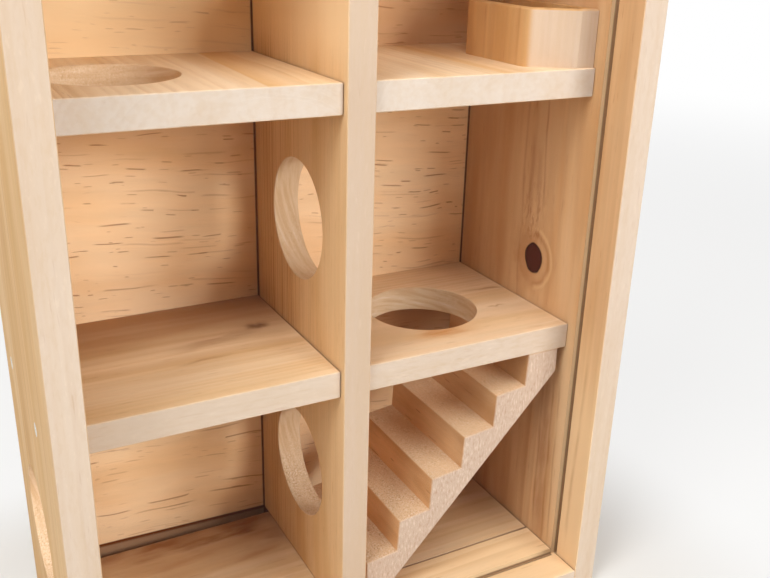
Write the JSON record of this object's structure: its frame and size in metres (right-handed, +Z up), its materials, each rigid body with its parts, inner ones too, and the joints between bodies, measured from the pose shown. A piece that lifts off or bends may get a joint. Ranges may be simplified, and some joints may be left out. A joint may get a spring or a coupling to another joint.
{
  "type": "small animal tower",
  "caption": "Free-standing wooden tower of stacked chambers for small animals, with round passages, stepped stairs, a food trough and a clear pane that lifts out of grooves.",
  "frame": {"origin": "middle of the footprint, on the surface that the tower stands on", "axes": "+X to the right across the columns, +Y back into the chambers, +Z up"},
  "size_m": [0.31, 0.1534, 0.464],
  "materials": {
    "pine": "planed, untreated",
    "pine_block": "sawn, untreated",
    "plywood": "sanded veneer",
    "dowel_beech": "turned",
    "zinc_steel": "zinc plated",
    "clear_acrylic": "clear, polished"
  },
  "bodies": {
    "tower": {"left_side_panel": "pine", "right_side_panel": "pine", "floor_sill": "pine", "floor_board": "pine", "roof_board": "pine", "divider": "pine", "middle_left_shelf": "pine", "middle_right_shelf": "pine", "upper_left_shelf": "pine", "upper_right_shelf": "pine", "back_panel": "plywood", "stairs": "pine_block", "left_side_screws": "zinc_steel", "right_side_screws": "zinc_steel", "divider_foot_screws": "zinc_steel", "divider_roof_screws": "zinc_steel", "back_nails": "zinc_steel", "shelf_dowels": "dowel_beech"},
    "trough": {"food_trough": "pine_block"},
    "pane": {"front_pane": "clear_acrylic"}
  },
  "joints": [
    {"name": "pane_lift", "type": "slide", "parent": "tower", "child": "pane", "axis": [0, 0, 1], "range_m": [0, 0.42]},
    {"name": "trough_lift", "type": "slide", "parent": "tower", "child": "trough", "axis": [0, 0, 1], "range_m": [0, 0.095]}
  ]
}
